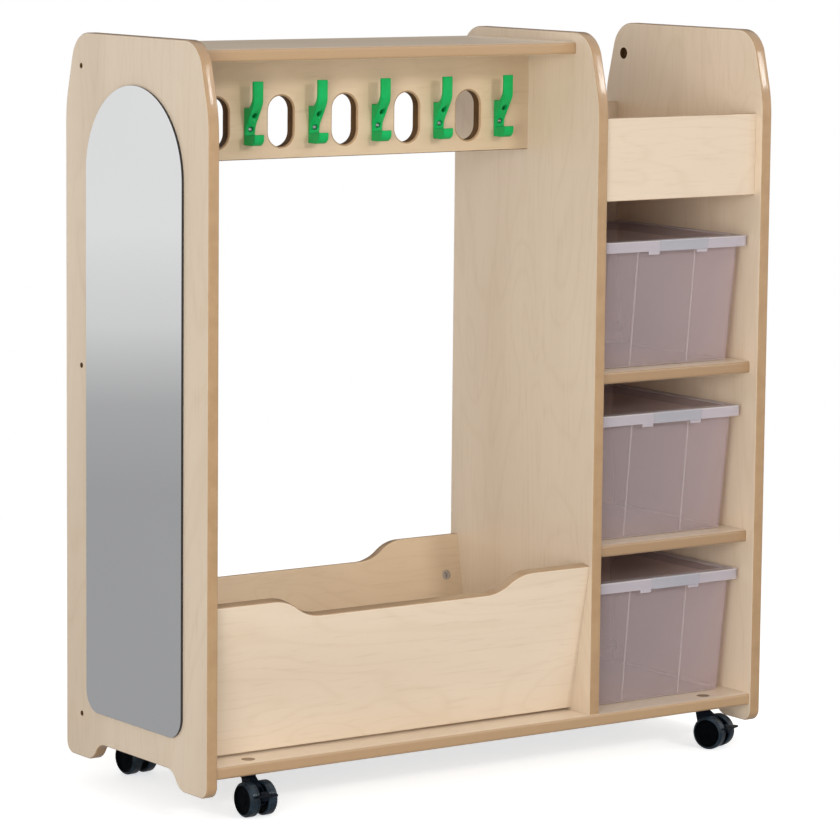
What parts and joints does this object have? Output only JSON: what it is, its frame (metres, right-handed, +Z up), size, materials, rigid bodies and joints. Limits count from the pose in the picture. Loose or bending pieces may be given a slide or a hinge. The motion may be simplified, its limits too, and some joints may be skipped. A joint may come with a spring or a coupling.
{
  "type": "dress up storage unit with mirror",
  "caption": "Mobile dress-up unit: open hanging bay with hook rail and costume trough, end mirror, and a tower of lidded tubs under an open bin, on braked swivel casters.",
  "frame": {"origin": "centre of the overall box on the floor, under the wheels", "axes": "+Z up, +X to the tub tower as seen from the front, the front faces -Y"},
  "size_m": [1.01, 0.4126, 1.094],
  "materials": {
    "maple_board": "maple-effect faced board with rounded tan edges, satin",
    "hook_green": "moulded green plastic, satin gloss",
    "mirror": "acrylic safety mirror",
    "mirror_backing": "black backing",
    "zinc_steel": "zinc plated",
    "dowel_beech": "fluted beech",
    "cap_tan": "tan plastic cap",
    "tub_clear": "translucent moulded plastic",
    "lid_clear": "translucent moulded plastic",
    "caster_black": "black nylon",
    "wheel_black": "black nylon with a smooth tread"
  },
  "bodies": {
    "carcass": {"end_panel_left": "maple_board", "end_panel_right": "maple_board", "divider": "maple_board", "base_board": "maple_board", "top_board": "maple_board", "hook_rail": "maple_board", "trough_front": "maple_board", "trough_back": "maple_board", "tower_back": "maple_board", "bin_floor": "maple_board", "bin_front": "maple_board", "shelf_upper": "maple_board", "shelf_lower": "maple_board", "mirror_sheet": "mirror", "mirror_backing": "mirror_backing", "coat_hook_1": "hook_green", "coat_hook_2": "hook_green", "coat_hook_3": "hook_green", "coat_hook_4": "hook_green", "coat_hook_5": "hook_green", "coat_hook_6": "hook_green", "hook_screws": "zinc_steel", "cam_locks": "zinc_steel", "cam_bolts": "zinc_steel", "wood_dowels": "dowel_beech", "divider_screws": "zinc_steel", "caster_caps": "cap_tan", "t_nuts": "zinc_steel", "stem_fl": "zinc_steel", "stem_fr": "zinc_steel", "stem_rl": "zinc_steel", "stem_rr": "zinc_steel"},
    "tub_upper": {"tub_1": "tub_clear"},
    "lid_upper": {"tub_lid_1": "lid_clear"},
    "tub_middle": {"tub_2": "tub_clear"},
    "lid_middle": {"tub_lid_2": "lid_clear"},
    "tub_lower": {"tub_3": "tub_clear"},
    "lid_lower": {"tub_lid_3": "lid_clear"},
    "swivel_fl": {"hood_fl": "caster_black", "axle_fl": "zinc_steel"},
    "roller_fl_a": {"wheel_fl_a": "wheel_black"},
    "roller_fl_b": {"wheel_fl_b": "wheel_black"},
    "pedal_fl": {"brake_pedal_fl": "caster_black"},
    "swivel_fr": {"hood_fr": "caster_black", "axle_fr": "zinc_steel"},
    "roller_fr_a": {"wheel_fr_a": "wheel_black"},
    "roller_fr_b": {"wheel_fr_b": "wheel_black"},
    "pedal_fr": {"brake_pedal_fr": "caster_black"},
    "swivel_rl": {"hood_rl": "caster_black", "axle_rl": "zinc_steel"},
    "roller_rl_a": {"wheel_rl_a": "wheel_black"},
    "roller_rl_b": {"wheel_rl_b": "wheel_black"},
    "swivel_rr": {"hood_rr": "caster_black", "axle_rr": "zinc_steel"},
    "roller_rr_a": {"wheel_rr_a": "wheel_black"},
    "roller_rr_b": {"wheel_rr_b": "wheel_black"}
  },
  "joints": [
    {"name": "tub_upper_slide", "type": "slide", "parent": "carcass", "child": "tub_upper", "axis": [0, -1, 0], "range_m": [0, 0.3]},
    {"name": "lid_upper_lift", "type": "slide", "parent": "tub_upper", "child": "lid_upper", "axis": [0, 0, 1], "range_m": [0, 0.034]},
    {"name": "tub_middle_slide", "type": "slide", "parent": "carcass", "child": "tub_middle", "axis": [0, -1, 0], "range_m": [0, 0.3]},
    {"name": "lid_middle_lift", "type": "slide", "parent": "tub_middle", "child": "lid_middle", "axis": [0, 0, 1], "range_m": [0, 0.034]},
    {"name": "tub_lower_slide", "type": "slide", "parent": "carcass", "child": "tub_lower", "axis": [0, -1, 0], "range_m": [0, 0.3]},
    {"name": "lid_lower_lift", "type": "slide", "parent": "tub_lower", "child": "lid_lower", "axis": [0, 0, 1], "range_m": [0, 0.034]},
    {"name": "swivel_fl_turn", "type": "hinge", "parent": "carcass", "child": "swivel_fl", "pos_m": [-0.413, -0.1507, 0.025], "axis": [0, 0, 1], "continuous": true},
    {"name": "roller_fl_a_spin", "type": "hinge", "parent": "swivel_fl", "child": "roller_fl_a", "pos_m": [-0.413, -0.1707, 0.025], "axis": [1, 0, 0], "continuous": true},
    {"name": "roller_fl_b_spin", "type": "hinge", "parent": "swivel_fl", "child": "roller_fl_b", "pos_m": [-0.413, -0.1707, 0.025], "axis": [1, 0, 0], "continuous": true},
    {"name": "pedal_fl_release", "type": "hinge", "parent": "swivel_fl", "child": "pedal_fl", "pos_m": [-0.413, -0.1857, 0.028], "axis": [-1, 0, 0], "range_deg": [0, 20]},
    {"name": "swivel_fr_turn", "type": "hinge", "parent": "carcass", "child": "swivel_fr", "pos_m": [0.417, -0.1507, 0.025], "axis": [0, 0, 1], "continuous": true},
    {"name": "roller_fr_a_spin", "type": "hinge", "parent": "swivel_fr", "child": "roller_fr_a", "pos_m": [0.42449, -0.16924, 0.025], "axis": [0.9272, 0.3746, 0], "continuous": true},
    {"name": "roller_fr_b_spin", "type": "hinge", "parent": "swivel_fr", "child": "roller_fr_b", "pos_m": [0.42449, -0.16924, 0.025], "axis": [0.9272, 0.3746, 0], "continuous": true},
    {"name": "pedal_fr_release", "type": "hinge", "parent": "swivel_fr", "child": "pedal_fr", "pos_m": [0.43011, -0.18315, 0.028], "axis": [-0.9272, -0.3746, 0], "range_deg": [0, 20]},
    {"name": "swivel_rl_turn", "type": "hinge", "parent": "carcass", "child": "swivel_rl", "pos_m": [-0.413, 0.1763, 0.025], "axis": [0, 0, 1], "continuous": true},
    {"name": "roller_rl_a_spin", "type": "hinge", "parent": "swivel_rl", "child": "roller_rl_a", "pos_m": [-0.41091, 0.15641, 0.025], "axis": [0.9945, 0.1045, 0], "continuous": true},
    {"name": "roller_rl_b_spin", "type": "hinge", "parent": "swivel_rl", "child": "roller_rl_b", "pos_m": [-0.41091, 0.15641, 0.025], "axis": [0.9945, 0.1045, 0], "continuous": true},
    {"name": "swivel_rr_turn", "type": "hinge", "parent": "carcass", "child": "swivel_rr", "pos_m": [0.417, 0.1763, 0.025], "axis": [0, 0, 1], "continuous": true},
    {"name": "roller_rr_a_spin", "type": "hinge", "parent": "swivel_rr", "child": "roller_rr_a", "pos_m": [0.41216, 0.15689, 0.025], "axis": [0.9703, -0.2419, 0], "continuous": true},
    {"name": "roller_rr_b_spin", "type": "hinge", "parent": "swivel_rr", "child": "roller_rr_b", "pos_m": [0.41216, 0.15689, 0.025], "axis": [0.9703, -0.2419, 0], "continuous": true}
  ]
}
